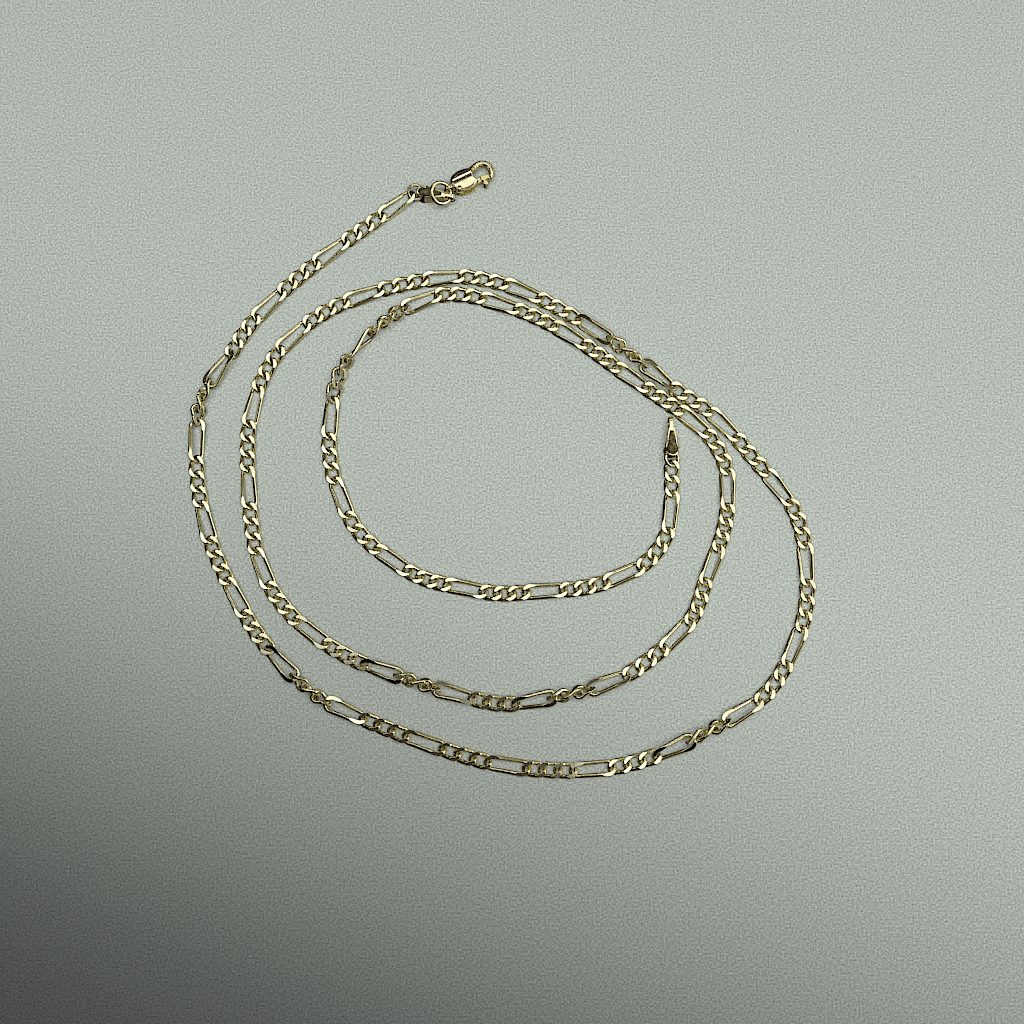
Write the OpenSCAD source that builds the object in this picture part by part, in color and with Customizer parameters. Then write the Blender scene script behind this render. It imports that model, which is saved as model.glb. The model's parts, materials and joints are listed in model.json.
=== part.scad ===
// Figaro chain necklace, lying in a loose spiral, with an end tag on each end and a lobster clasp.
// Lengths are in millimetres. The surface it lies on is z = 0.

/* [Chain] */
// Outside width of every link
link_w = 2.4; // [2.3:0.05:2.6]
// Thickness of the wire the links are bent from
wire_d = 0.58; // [0.5:0.01:0.62]
// Outside length of a short link
short_l = 3.72; // [3.6:0.01:4]
// Outside length of a long link
long_l = 7.13; // [6.5:0.01:8]
// Free play where two links join
link_play = 0.2; // [0.16:0.01:0.26]
// Angle that the wire sweeps round each corner of a short link
short_sweep = 110; // [109:1:111]
// Angle that the wire sweeps round each corner of a long link
long_sweep = 98; // [97:1:99]
// Short links after each long one
shorts_each = 3; // [2:1:4]
// Long links in the chain
long_count = 48; // [40:1:48]
// Short links after the last long one
end_shorts = 2; // [1:1:3]

/* [End rings] */
// Thickness of an end ring's wire
end_wire = 0.45; // [0.4:0.01:0.5]
// Radius of an end ring, to the middle of its wire
end_r = 1.12; // [1:0.01:1.15]
// Slant of an end ring along the chain
end_slant = 24; // [22:1:26]

/* [End tags] */
// Overall length of a tag
tag_l = 6.3; // [5.5:0.1:7.5]
// Width of a tag's round end
tag_w = 2.35; // [2.3:0.05:2.8]
// Height of a tag
tag_h = 2.1; // [2.05:0.05:2.3]
// Height of the slot that takes the end ring
slot_h = 1.56; // [1.54:0.01:1.6]
// Radius of the crown along the tag's top
tag_crown_r = 1.8; // [1.5:0.1:3]
// Radius of the pin across the slot
pin_r = 0.2; // [0.15:0.01:0.25]
// Distance of the pin from the tag's round edge
pin_edge = 0.35; // [0.3:0.05:0.5]
// Radius of the eye at the narrow end
tag_eye_r = 0.88; // [0.85:0.01:0.9]
// Thickness of that eye
tag_eye_t = 0.7; // [0.6:0.05:0.8]

/* [Jump ring] */
// Thickness of the jump ring's wire
jump_wire = 0.55; // [0.45:0.01:0.6]
// Radius of the jump ring, to the middle of its wire
jump_r = 1.65; // [1.6:0.01:1.8]
// Slope at which it leans back over the tag
jump_lean = 28; // [27:1:29]
// Radius of the two eyes' holes
eye_hole_r = 0.62; // [0.6:0.01:0.64]

/* [Clasp] */
// Length of the clasp's body past its eye
body_l = 4.7; // [4.5:0.1:5]
// Width of the clasp's body
body_w = 4.05; // [3.9:0.05:4.2]
// Height of the clasp's body
body_h = 2.3; // [2.2:0.05:2.6]
// Radius of the crown along the body
crown_r = 3.2; // [2.8:0.1:4]
// Radius of the eye at the base of the clasp
clasp_eye_r = 0.87; // [0.85:0.01:0.9]
// Thickness of that eye
clasp_eye_t = 0.6; // [0.5:0.05:0.7]
// Thickness of the hook's wire
hook_wire = 0.95; // [0.85:0.01:0.96]
// Radius of the hook, to the middle of its wire
hook_r = 1.45; // [1.4:0.01:1.6]
// Diameter of the hook's straight root
root_d = 1.02; // [0.98:0.01:1.05]
// Diameter of the two collars on the hook's root
collar_d = 1.15; // [1.1:0.05:1.2]

/* [Lever] */
// Thickness of the lever inside the body
lever_t = 0.8; // [0.6:0.05:0.9]
// Thickness of the lever's gate
gate_t = 1.5; // [1:0.1:1.6]
// Free space above and below the lever
lever_play = 0.15; // [0.1:0.01:0.2]
// Radius of the rivet
rivet_r = 0.3; // [0.25:0.01:0.35]
// Free space round the rivet in the lever
bore_play = 0.06; // [0.04:0.01:0.1]
// Opening angle of the lever
lever_swing = 16; // [10:1:16]
// Lever's angle from shut
lever_angle = 0; // [0:1:16]

/* [Hidden] */
$fn = 32;
link_fn = 16;

// Points that the chain lies along, from the clasp end to the inner end.
route = [
  [-14, 42.5], [-20.5, 37.5], [-26.5, 33], [-33.5, 27], [-39, 21], [-42.5, 15], [-46, 9], [-46.5, 0],
  [-45.5, -7.5], [-43.5, -14], [-40, -21], [-36, -27.5], [-30.5, -33.5], [-25, -37.5], [-18, -40.5],
  [-10, -43.5], [-1.5, -46], [5.5, -47], [15, -47], [23.5, -45], [32, -41], [39.5, -36.5], [44, -30],
  [46.5, -22.5], [46.5, -13.5], [44.5, -7], [39, 0], [34, 6], [27, 11], [20, 16.5], [14.5, 20.5],
  [8, 24.5], [1.5, 27.5], [-6.5, 29], [-13.5, 28], [-21, 26], [-27.5, 23], [-33, 18.5], [-36.5, 13],
  [-38.5, 6], [-38.5, -2.5], [-37.5, -11.5], [-35.5, -18.5], [-30, -25.5], [-22.5, -30.5],
  [-14.5, -33.5], [-6.5, -36], [1, -37.5], [8, -36.5], [16.5, -34.5], [22.5, -31], [29, -25],
  [31.5, -18.5], [34.5, -10.5], [35, -2], [31.5, 4.5], [25.5, 9], [18.5, 14], [11, 19.5], [3, 23.5],
  [-6, 26], [-12.5, 25], [-19.5, 20], [-24.5, 13.5], [-26, 7], [-26, 0], [-24, -7], [-20.5, -12.5],
  [-13, -18], [-6, -20], [0.5, -21], [7, -20.5], [13.5, -20], [21.5, -17], [26, -11], [26.5, -1.5]
];
// Middle of the laid chain, from the zero of the route's points
middle = [0.067, -0.268];

// Places where the chain turns over: the link in the middle, and how many links away the turn begins and ends
kink_link = 0;
kink_half = 1;
kinks = [[14, 2.5], [30, 2.5], [50, 2.5], [74, 2.5], [114, 2.5], [122, 2.5], [160, 4]];

// Places where the chain is pushed together: the repeat, and the play that each of its joints has more
slack_at = 0;
slack_play = 1;
slacks = [
  [3, 0.2], [5, 0.05], [6, 0.15], [7, 0.2], [8, 0.05], [10, 0.05], [11, 0.05], [12, 0.35], [15, 0.05], [17, 0.05],
  [18, 0.15], [26, 0.1], [27, 0.1], [28, 0.4], [29, 0.15], [30, 0.4], [32, 0.2], [33, 0.2], [34, 0.15], [35, 0.25],
  [36, 0.3], [37, 0.2], [39, 0.2], [40, 0.1], [43, 0.2], [44, 0.2], [45, 0.15]
];

// Chain: link sizes
bend_r = (link_w - wire_d) / 2;
short_half = (short_l - wire_d) / 2;
long_half = (long_l - wire_d) / 2;
figure = shorts_each + 1;
link_count = figure * (long_count - 1) + 1 + end_shorts;
draw_scale = 0.05;

function is_long(i) = i % figure == 0;
function half_length(i) = is_long(i) ? long_half : short_half;
function sweep_of(i) = is_long(i) ? long_sweep : short_sweep;
function slack_of(i) = sum([for (row = slacks) row[slack_at] == floor(i / figure) ? row[slack_play] : 0]);
function pitch(i) = 2 * half_length(i) - wire_d - link_play - slack_of(i);

// Chain: tilt of a corner's plane for which its arc runs smoothly into the two straight sides
function tilt_root(k, c) =
  (sqrt(pow(c, 4) * pow(1 - k * k, 2) + 4 * k * k * c * c) - c * c * (1 - k * k)) / (2 * k * k);
function tilt(half, sweep) = asin(sqrt(tilt_root(bend_r / half, -cos(sweep))));
function side_slope(half, sweep) = atan(bend_r / half * tan(tilt(half, sweep)));

// Corner arc from a link's end: start direction, end direction, radius, direction inwards, middle
function arc_start(half, sweep) = [0, cos(tilt(half, sweep)), -sin(tilt(half, sweep))];
function arc_end(half, sweep) = [-cos(side_slope(half, sweep)), 0, sin(side_slope(half, sweep))];
function arc_r(half, sweep) = bend_r / (cos(tilt(half, sweep)) * tan(sweep / 2));
function arc_in(half, sweep) = (arc_end(half, sweep) - arc_start(half, sweep) * cos(sweep)) / sin(sweep);
function arc_mid(half, sweep) = [half, 0, 0] + arc_r(half, sweep) * arc_in(half, sweep);
function arc_point(half, sweep, a) = arc_mid(half, sweep)
  + arc_r(half, sweep) * (arc_start(half, sweep) * sin(a) - arc_in(half, sweep) * cos(a));

// Outline of each kind of link's corner, and how far one end of a turned link reaches below its middle
short_arc = [for (a = [0:5:short_sweep]) arc_point(short_half, short_sweep, a)];
long_arc = [for (a = [0:5:long_sweep]) arc_point(long_half, long_sweep, a)];
function depth(i, end) = let(turn = turn_of(i))
  max([for (p = is_long(i) ? long_arc : short_arc) abs(end * p[1] * sin(turn) + p[2] * cos(turn))]) + wire_d / 2;
lay_play = 0.02;

// Chain: smooth line through the route's points
steps = 12;
function knot(i) = route[max(0, min(len(route) - 1, i))] - middle;
function between(a, b, c, d, t) =
  (2 * b + (c - a) * t + (2 * a - 5 * b + 4 * c - d) * t * t + (3 * b - a - 3 * c + d) * t * t * t) / 2;
last_knot = len(route) - 1;
run_out = knot(last_knot) - knot(last_knot - 1);
line = [
  for (i = [0:last_knot - 1]) for (k = [0:steps - 1])
    between(knot(i - 1), knot(i), knot(i + 1), knot(i + 2), k / steps),
  knot(last_knot),
  knot(last_knot) + run_out * 10
];

// Chain: joints, each at its link's pitch from the one before
function past(p, i, d) = norm(line[i] - p) >= d ? i : past(p, i + 1, d);
function on_line(p, a, b, d) = let(u = b - a, w = a - p, m = w * u, s = u * u)
  a + u * (sqrt(m * m - s * (w * w - d * d)) - m) / s;
function walk(joints, at, i) = i == link_count ? joints :
  let(p = joints[i], j = past(p, at, pitch(i)))
  walk(concat(joints, [on_line(p, line[j - 1], line[j], pitch(i))]), j, i + 1);
joints = walk([line[0]], 1, 0);

// Chain: turn of each link about the line, and the height that it needs
function share(i, row) = max(0, min(1, (i - row[kink_link] + row[kink_half]) / (2 * row[kink_half])));
function sum(list, i = 0) = i == len(list) ? 0 : list[i] + sum(list, i + 1);
function turn_of(i) = 180 * sum([for (row = kinks) share(i, row)]);
function joint_lift(i) = i == 0 || i == link_count ? tag_z : max(depth(i - 1, 1), depth(i, -1)) + lay_play;
function joint(i) = [joints[i][0], joints[i][1], joint_lift(i)];

// Ends: directions and places, worked out from the first and last joints
outer_turn = -9;
inner_turn = 91;
clasp_turn = 27;
end_play = 0.32;
pin_play = 0.14;
end_gap = (end_wire + wire_d) / 2 + end_play;
function unit(v) = v / norm(v);
function flat(a) = [cos(a), sin(a)];
function heading(v) = atan2(v[1], v[0]);
outer_way = unit(unit(joints[0] - joints[1]) + flat(outer_turn));
inner_way = unit(unit(joints[link_count] - joints[link_count - 1]) + flat(inner_turn));
outer_ring = joints[0] + outer_way * (end_r - end_gap / 2);
inner_ring = joints[link_count] + inner_way * (end_r - end_gap / 2);
pin_reach = end_r - end_wire / 2 - pin_play - pin_r;
outer_pin = outer_ring + flat(outer_turn) * pin_reach;
inner_pin = inner_ring + flat(inner_turn) * pin_reach;
tag_z = tag_h / 2;
tag_eye_x = tag_l - pin_edge - tag_eye_r;
tag_rise = 2;
eye_flare = 0.1;
slot_room = 0.1;
join = 0.02;

// Jump ring: where it passes through the tag's eye and through the clasp's eye
jump_turn = -16;
eye_apart = 50;
tag_eye = outer_pin + flat(outer_turn) * tag_eye_x;
jump_mid = tag_eye - flat(jump_turn) * jump_r * cos(jump_lean);
jump_z = tag_z + jump_r * sin(jump_lean);
clasp_eye = jump_mid + flat(jump_turn) * jump_r * cos(eye_apart) * cos(jump_lean)
  + flat(jump_turn + 90) * jump_r * sin(eye_apart);
clasp_eye_z = jump_z - jump_r * cos(eye_apart) * sin(jump_lean);

// Clasp: plan, from its eye at zero, with the hook ahead and the lever on the right
body_x = 0.45;
widest = 0.49;
back_share = 0.555;
body_mid = body_x + widest * body_l;
back_w = back_share * body_w;
front_w = body_w - back_w;
back_r = 2.75;
front_r = 5;
crown_y = 0.2;
base_cut = 0.1;
neck_in = 0.4;
hook_ahead = 0.75;
hook_x = body_x + body_l + hook_ahead;
hook_y = 0.1;
hook_start = 105;
hook_end = -80;
lever_reach = 5.2;
hook_root = 1.35;
mouth_r = 1.6;
mouth_back = 0.1;
tip_y = -0.4;
neck_h = 1;
collar_w = 0.22;
collar_at = [0.55, 0.9];
pivot = [body_x + 0.9, -0.9];
head_r = 0.65;
swing_room = 2;
gate_w = 0.85;
gate_in = 0.05;
gate_x = body_x + body_l - gate_in;
gate_play = 0.15;
gate_knee = [0.8, 0.05];
gate_tip = [0.25, 0.3];
gate_join = 0.2;
nub_r = 0.35;
hook_mid = [hook_x, hook_y];
slot_z = lever_t + 2 * lever_play;
rivet_fit = 0.02;
rivet_seat = 0.38;

// One corner of a link, at a scale
module corner(half, sweep, k) {
  u = -arc_in(half, sweep);
  v = arc_start(half, sweep);
  w = cross(u, v);
  c = arc_mid(half, sweep) * k;
  multmatrix([
    [u[0], v[0], w[0], c[0]],
    [u[1], v[1], w[1], c[1]],
    [u[2], v[2], w[2], c[2]],
    [0, 0, 0, 1]
  ])
    rotate_extrude(angle = sweep)
      translate([arc_r(half, sweep) * k, 0])
        circle(d = wire_d * k);
}

// One straight side of a link, at a scale
module side(half, sweep, k) {
  slope = side_slope(half, sweep);
  reach = half - bend_r * cos(slope) / cos(tilt(half, sweep));
  translate([0, bend_r * k, 0])
    rotate([0, 90 + slope, 0])
      cylinder(h = 2 * reach / cos(slope) * k, d = wire_d * k, center = true);
}

// A link twisted like a curb link, drawn small and scaled up, which keeps its joins exact
module twisted_link(half, sweep) {
  $fn = link_fn;
  scale(1 / draw_scale)
    union() {
      corner(half, sweep, draw_scale);
      rotate([180, 0, 0]) corner(half, sweep, draw_scale);
      rotate([0, 0, 180]) corner(half, sweep, draw_scale);
      rotate([0, 180, 0]) corner(half, sweep, draw_scale);
      side(half, sweep, draw_scale);
      rotate([0, 0, 180]) side(half, sweep, draw_scale);
    }
}

// Puts a link between its two joints and turns it about the line
module on_chain(i) {
  a = joint(i);
  b = joint(i + 1);
  run = b - a;
  translate((a + b) / 2)
    rotate([0, -atan2(run[2], norm([run[0], run[1]])), heading(run)])
      rotate([turn_of(i), 0, 0])
        children();
}

module short_links() {
  color("gold")
    for (i = [0:link_count - 1])
      if (!is_long(i))
        on_chain(i) twisted_link(short_half, short_sweep);
}

module long_links() {
  color("gold")
    for (i = [0:link_count - 1])
      if (is_long(i))
        on_chain(i) twisted_link(long_half, long_sweep);
}

module wire_ring(r, d) {
  rotate_extrude() translate([r, 0]) circle(d = d);
}

module end_ring_outer() {
  color("goldenrod")
    translate([outer_ring[0], outer_ring[1], tag_z])
      rotate([0, 0, heading(outer_way)])
        rotate([end_slant, 0, 0])
          wire_ring(end_r, end_wire);
}

module end_ring_inner() {
  color("goldenrod")
    translate([inner_ring[0], inner_ring[1], tag_z])
      rotate([0, 0, heading(inner_way)])
        rotate([end_slant, 0, 0])
          wire_ring(end_r, end_wire);
}

// Upright through the tag's outline seen from above, with its pin at zero
module tag_upright() {
  wide = tag_w / 2;
  wide_x = wide - pin_edge;
  translate([wide_x, 0, 0]) cylinder(d = tag_w, h = 2 * tag_h, center = true);
  linear_extrude(height = 2 * tag_h, center = true)
    polygon([
      [wide_x, -wide + join], [wide_x, wide - join],
      [tag_eye_x - tag_eye_r, tag_eye_t / 2 + eye_flare], [tag_eye_x - tag_eye_r, -tag_eye_t / 2 - eye_flare]
    ]);
  translate([tag_eye_x - 2 * tag_eye_r, -tag_eye_t / 2, -tag_h]) cube([3 * tag_eye_r, tag_eye_t, 2 * tag_h]);
}

// Bar through the tag's outline seen from its side
module tag_across() {
  rotate([90, 0, 0])
    linear_extrude(height = 2 * tag_w, center = true)
      polygon([
        [-tag_w, -tag_h / 2], [tag_eye_x - tag_rise, -tag_h / 2], [tag_eye_x, -tag_eye_r + join],
        [tag_eye_x, tag_eye_r - join], [tag_w / 2, tag_h / 2 + join], [-tag_w, tag_h / 2 + join]
      ]);
  translate([tag_eye_x, 0, 0]) rotate([90, 0, 0]) cylinder(r = tag_eye_r, h = 2 * tag_w, center = true);
}

module tag() {
  slot_end = pin_r + 2 * pin_play + end_wire + slot_room;
  difference() {
    intersection() {
      tag_upright();
      translate([0, 0, tag_h / 2 - tag_crown_r])
        rotate([0, 90, 0])
          cylinder(r = tag_crown_r, h = 4 * tag_l, center = true);
      tag_across();
    }
    difference() {
      translate([-tag_w, -tag_w, -slot_h / 2]) cube([tag_w + slot_end, 2 * tag_w, slot_h]);
      cylinder(r = pin_r, h = 2 * tag_h, center = true);
    }
    translate([tag_eye_x, 0, 0]) rotate([90, 0, 0]) cylinder(r = eye_hole_r, h = 2 * tag_w, center = true);
  }
}

module tag_outer() {
  color("darkgoldenrod")
    translate([outer_pin[0], outer_pin[1], tag_z])
      rotate([0, 0, outer_turn])
        tag();
}

module tag_inner() {
  color("darkgoldenrod")
    translate([inner_pin[0], inner_pin[1], tag_z])
      rotate([0, 0, inner_turn])
        tag();
}

module jump_ring() {
  color("gold")
    translate([jump_mid[0], jump_mid[1], jump_z])
      rotate([0, jump_lean, jump_turn])
        wire_ring(jump_r, jump_wire);
}

module in_clasp() {
  translate([clasp_eye[0], clasp_eye[1], body_h / 2])
    rotate([0, 0, clasp_turn])
      children();
}

// Fish-shaped body: full outline from above, crowned above and below, with a flat to rest on
module body_form() {
  intersection() {
    translate([body_mid, back_w - back_r, -body_h / 2]) cylinder(r = back_r, h = 2 * body_h);
    translate([body_mid, front_r - front_w, 0]) cylinder(r = front_r, h = 2 * body_h, center = true);
    translate([0, crown_y, body_h / 2 - crown_r])
      rotate([0, 90, 0])
        cylinder(r = crown_r, h = 4 * body_l, center = true);
    translate([0, crown_y, crown_r - body_h / 2 - base_cut])
      rotate([0, 90, 0])
        cylinder(r = crown_r, h = 4 * body_l, center = true);
    translate([body_x, -body_w, -body_h]) cube([body_l, 2 * body_w, 2 * body_h]);
  }
}

// Room for the lever, shut and swung in
module lever_room() {
  linear_extrude(height = slot_z, center = true)
    translate(pivot) {
      circle(r = head_r + gate_play);
      translate([0, -2 * body_w]) square([2 * body_l, 2 * body_w + gate_w / 2 + gate_play]);
      rotate(lever_swing + swing_room)
        translate([0, -2 * body_w])
          square([2 * body_l, 2 * body_w + gate_w / 2 + gate_play]);
    }
}

// Hook, cut off where the end of the lever swings past it
module hook() {
  start = hook_mid + flat(hook_start) * hook_r;
  difference() {
    translate([hook_x, hook_y, 0])
      rotate([0, 0, hook_end])
        rotate_extrude(angle = hook_start - hook_end)
          translate([hook_r, 0])
            circle(d = hook_wire);
    intersection() {
      translate([pivot[0], pivot[1], 0])
        cylinder(r = lever_reach + gate_play, h = body_h, center = true);
      translate([0, tip_y - 2 * body_w, -body_h]) cube([2 * body_l, 2 * body_w, 2 * body_h]);
    }
  }
  translate([start[0], start[1], 0])
    rotate([0, 0, hook_start + 90])
      rotate([0, 90, 0]) {
        translate([0, 0, -join]) cylinder(d = root_d, h = hook_root);
        for (z = collar_at)
          translate([0, 0, z - collar_w / 2]) cylinder(d = collar_d, h = collar_w);
      }
}

module clasp_body() {
  eye_lift = clasp_eye_z - body_h / 2;
  color("gold")
    in_clasp()
      difference() {
        union() {
          difference() {
            union() {
              body_form();
              translate([0, -clasp_eye_t / 2, eye_lift - neck_h / 2]) cube([body_x + neck_in, clasp_eye_t, neck_h]);
            }
            translate([hook_x - mouth_back, hook_y, 0]) cylinder(r = mouth_r, h = 2 * body_h, center = true);
            lever_room();
          }
          hook();
          translate([0, 0, eye_lift])
            rotate([90, 0, 0])
              cylinder(r = clasp_eye_r, h = clasp_eye_t, center = true);
        }
        translate([0, 0, eye_lift])
          rotate([90, 0, 0])
            cylinder(r = eye_hole_r, h = body_w, center = true);
        translate([pivot[0], pivot[1], 0]) cylinder(r = rivet_r + rivet_fit, h = 2 * body_h, center = true);
      }
}

module clasp_rivet() {
  color("goldenrod")
    in_clasp()
      translate([pivot[0], pivot[1], 0])
        cylinder(r = rivet_r, h = slot_z + 2 * rivet_seat, center = true);
}

// Lever from above, with its pivot at zero
module lever_tongue() {
  translate([0, -gate_w / 2]) square([gate_x - pivot[0] + gate_join, gate_w]);
  circle(r = head_r);
}

// Gate from above, from the body's mouth to the hook's end
module lever_gate() {
  x = gate_x - pivot[0];
  polygon([
    [x, -gate_w / 2], [x, gate_w / 2],
    [lever_reach, gate_w / 2 - gate_tip[1]], [lever_reach, -gate_w / 2 - gate_tip[0]],
    [x + gate_knee[0], -gate_w / 2 - gate_knee[1]]
  ]);
}

module clasp_lever() {
  color("yellow")
    in_clasp()
      translate([pivot[0], pivot[1], 0])
        rotate([0, 0, lever_angle])
          difference() {
            union() {
              linear_extrude(height = lever_t, center = true) lever_tongue();
              intersection() {
                linear_extrude(height = gate_t, center = true) lever_gate();
                cylinder(r = lever_reach, h = 2 * gate_t, center = true);
              }
              translate([gate_x - pivot[0] + nub_r, -gate_w / 2 - nub_r, 0])
                cylinder(r = nub_r, h = gate_t, center = true);
              translate([gate_x - pivot[0], -gate_w / 2 - nub_r, -gate_t / 2])
                cube([2 * nub_r, 2 * nub_r, gate_t]);
            }
            cylinder(r = rivet_r + bore_play, h = 2 * body_h, center = true);
          }
}

short_links();
long_links();
end_ring_outer();
end_ring_inner();
tag_outer();
tag_inner();
jump_ring();
clasp_body();
clasp_rivet();
clasp_lever();
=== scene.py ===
import itertools
import json
import math

import bmesh
import bpy
import numpy as np
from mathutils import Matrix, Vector


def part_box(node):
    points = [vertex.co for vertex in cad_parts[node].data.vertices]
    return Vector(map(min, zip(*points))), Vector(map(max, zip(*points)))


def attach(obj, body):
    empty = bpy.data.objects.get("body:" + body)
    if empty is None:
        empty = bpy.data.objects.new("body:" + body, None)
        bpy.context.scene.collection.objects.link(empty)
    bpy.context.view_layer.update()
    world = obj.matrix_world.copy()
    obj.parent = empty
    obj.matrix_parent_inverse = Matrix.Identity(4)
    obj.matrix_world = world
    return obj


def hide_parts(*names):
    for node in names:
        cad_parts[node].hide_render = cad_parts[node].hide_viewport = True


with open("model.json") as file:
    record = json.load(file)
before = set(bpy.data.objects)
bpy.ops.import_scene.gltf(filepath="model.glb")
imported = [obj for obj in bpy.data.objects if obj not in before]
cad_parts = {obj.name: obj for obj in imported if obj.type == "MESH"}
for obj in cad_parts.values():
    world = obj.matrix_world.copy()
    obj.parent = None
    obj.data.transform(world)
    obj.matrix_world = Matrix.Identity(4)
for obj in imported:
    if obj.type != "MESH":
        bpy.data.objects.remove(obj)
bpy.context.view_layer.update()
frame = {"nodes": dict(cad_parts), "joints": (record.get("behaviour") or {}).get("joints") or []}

# Everything below is worked out in millimetres and handed to Blender in metres.
mm = 0.001
scene = bpy.context.scene


# the camera is at the photograph's angle
view = {
    "place": (1.93, -35.46, 182.73),
    "tip": 8.5,              # degrees from straight down
    "fieldOfView": 46.0,     # degrees
    "sensor": 36,
    "clip": (0.01, 10),      # nearest and farthest that is seen, in metres
}


def placeCamera():
    data = bpy.data.cameras.new("camera")
    data.sensor_width = view["sensor"]
    data.sensor_height = view["sensor"]
    data.sensor_fit = "HORIZONTAL"
    data.lens = view["sensor"] / 2 / math.tan(math.radians(view["fieldOfView"] / 2))
    data.clip_start, data.clip_end = view["clip"]
    camera = bpy.data.objects.new("camera", data)
    camera.location = Vector(view["place"]) * mm
    camera.rotation_euler = (math.radians(view["tip"]), 0, 0)
    scene.collection.objects.link(camera)
    scene.camera = camera


placeCamera()
print("camera placed")


noiseSpan = (0.3, 0.7)      # nearly all of a noise texture's values lie between these
tintSpan = (0.35, 0.65)     # where in it the two colours of a mottled surface stand alone


def newMaterial(name):
    material = bpy.data.materials.new(name)
    material.use_nodes = True
    tree = material.node_tree
    tree.nodes.clear()
    output = tree.nodes.new("ShaderNodeOutputMaterial")
    shader = tree.nodes.new("ShaderNodeBsdfPrincipled")
    tree.links.new(shader.outputs["BSDF"], output.inputs["Surface"])
    return material, tree, shader


def noiseNode(tree, size, detail, place, roughness=0.5):
    node = tree.nodes.new("ShaderNodeTexNoise")
    node.inputs["Scale"].default_value = 1 / (size * mm)
    node.inputs["Detail"].default_value = detail
    node.inputs["Roughness"].default_value = roughness
    tree.links.new(place, node.inputs["Vector"])
    return node.outputs["Fac"]


def spanNode(tree, value, low, high):
    node = tree.nodes.new("ShaderNodeMapRange")
    node.inputs["From Min"].default_value = noiseSpan[0]
    node.inputs["From Max"].default_value = noiseSpan[1]
    node.inputs["To Min"].default_value = low
    node.inputs["To Max"].default_value = high
    tree.links.new(value, node.inputs["Value"])
    return node.outputs["Result"]


def tintNode(tree, value, first, second):
    node = tree.nodes.new("ShaderNodeValToRGB")
    for element, at, colour in zip(node.color_ramp.elements, tintSpan, (first, second)):
        element.position = at
        element.color = (*colour, 1)
    tree.links.new(value, node.inputs["Fac"])
    return node.outputs["Color"]


def bumpNode(tree, shader, height, depth, strength=1.0):
    node = tree.nodes.new("ShaderNodeBump")
    node.inputs["Strength"].default_value = strength
    node.inputs["Distance"].default_value = depth * mm
    tree.links.new(height, node.inputs["Height"])
    tree.links.new(node.outputs["Normal"], shader.inputs["Normal"])


# polished wire, diamond-cut facets, cast fittings, the tags' darkened panels and the lever, each with its own polish;
# blotch and grain are sizes of patches, and depth is how deep the grain is
golds = {
    "wireGold": {"pale": (0.92, 0.87, 0.61), "deep": (0.84, 0.77, 0.46), "polish": (0.08, 0.16),
                 "blotch": 1.6, "grain": 0.09, "depth": 0.0016},
    "cutGold": {"pale": (0.96, 0.93, 0.73), "deep": (0.84, 0.79, 0.55), "polish": (0.05, 0.13),
                "blotch": 2.5, "grain": 0.05, "depth": 0.0004},
    "castGold": {"pale": (0.93, 0.87, 0.60), "deep": (0.84, 0.75, 0.45), "polish": (0.09, 0.22),
                 "blotch": 1.2, "grain": 0.14, "depth": 0.002},
    "panelGold": {"pale": (0.20, 0.165, 0.08), "deep": (0.035, 0.03, 0.014), "polish": (0.2, 0.4),
                  "blotch": 0.5, "grain": 0.16, "depth": 0.02},
    "leverGold": {"pale": (0.92, 0.82, 0.50), "deep": (0.80, 0.67, 0.34), "polish": (0.14, 0.3),
                  "blotch": 0.8, "grain": 0.12, "depth": 0.004},
}
goldNoise = {"blotchDetail": 3, "grainDetail": 5, "grainRoughness": 0.6}


def makeGold(name):
    look = golds[name]
    material, tree, shader = newMaterial(name)
    place = tree.nodes.new("ShaderNodeTexCoord").outputs["Object"]
    shader.inputs["Metallic"].default_value = 1
    blotches = noiseNode(tree, look["blotch"], goldNoise["blotchDetail"], place)
    grain = noiseNode(tree, look["grain"], goldNoise["grainDetail"], place, goldNoise["grainRoughness"])
    tree.links.new(tintNode(tree, blotches, look["deep"], look["pale"]), shader.inputs["Base Color"])
    tree.links.new(spanNode(tree, grain, *look["polish"]), shader.inputs["Roughness"])
    bumpNode(tree, shader, grain, look["depth"])
    return material


gold = {name: makeGold(name) for name in golds}
print("golds made")


def addPiece(name, points, faces, materials, faceSlots=None, flatSlots=(), normals=None):
    mesh = bpy.data.meshes.new(name)
    allAlike = len(set(map(len, faces))) == 1
    mesh.from_pydata((np.asarray(points) * mm).tolist(), [],
                     np.asarray(faces).tolist() if allAlike else [list(f) for f in faces])
    for material in materials:
        mesh.materials.append(material)
    if faceSlots is not None:
        mesh.polygons.foreach_set("material_index", np.asarray(faceSlots, np.int32))
    smooth = np.ones(len(mesh.polygons), bool)
    if faceSlots is not None and flatSlots:
        smooth = ~np.isin(np.asarray(faceSlots), flatSlots)
    mesh.polygons.foreach_set("use_smooth", smooth)
    mesh.update()
    if normals is not None:
        mesh.normals_split_custom_set_from_vertices(np.asarray(normals).tolist())
    piece = bpy.data.objects.new(name, mesh)
    scene.collection.objects.link(piece)
    return piece


def unit(rows):
    return rows / np.linalg.norm(rows, axis=-1, keepdims=True)


def tubeRings(line, radius, upright, sides):
    # rings of points round a line; upright is the way that each ring's top looks
    ahead = unit(np.roll(line, -1, 0) - np.roll(line, 1, 0))
    top = unit(upright - ahead * (ahead @ upright)[:, None])
    across = np.cross(ahead, top)
    turn = np.linspace(0, 2 * math.pi, sides, endpoint=False)
    return (line[:, None] + radius * (np.cos(turn)[None, :, None] * across[:, None]
                                      + np.sin(turn)[None, :, None] * top[:, None]))


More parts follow.
